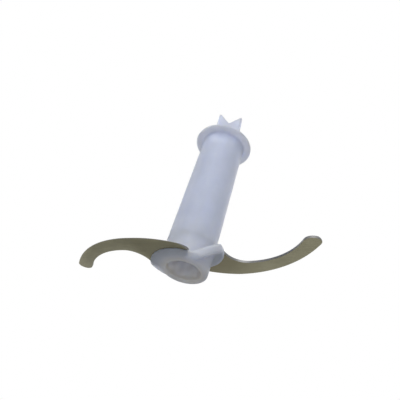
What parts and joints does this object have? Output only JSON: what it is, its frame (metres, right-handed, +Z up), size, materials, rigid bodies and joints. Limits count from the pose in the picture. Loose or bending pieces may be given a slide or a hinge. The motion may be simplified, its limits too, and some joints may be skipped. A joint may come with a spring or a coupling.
{
  "type": "food processor chopper blade",
  "caption": "Chopper blade for a food processor: tall tubular plastic hub with round flange, stepped collar and notched drive crown, gripping sickle steel blades at separate heights.",
  "frame": {"origin": "on the hub's axis, in the plane of its bottom rim", "axes": "+Z up along the shaft towards the drive crown, +X along the upper blade"},
  "size_m": [0.1436, 0.0552, 0.125],
  "materials": {
    "natural_plastic": "milky, slightly see-through natural plastic with a soft satin surface",
    "blade_steel": "brushed stainless steel with a bright ground edge"
  },
  "bodies": {
    "root": {"hub": "natural_plastic", "upper_blade": "blade_steel", "lower_blade": "blade_steel"}
  },
  "joints": []
}
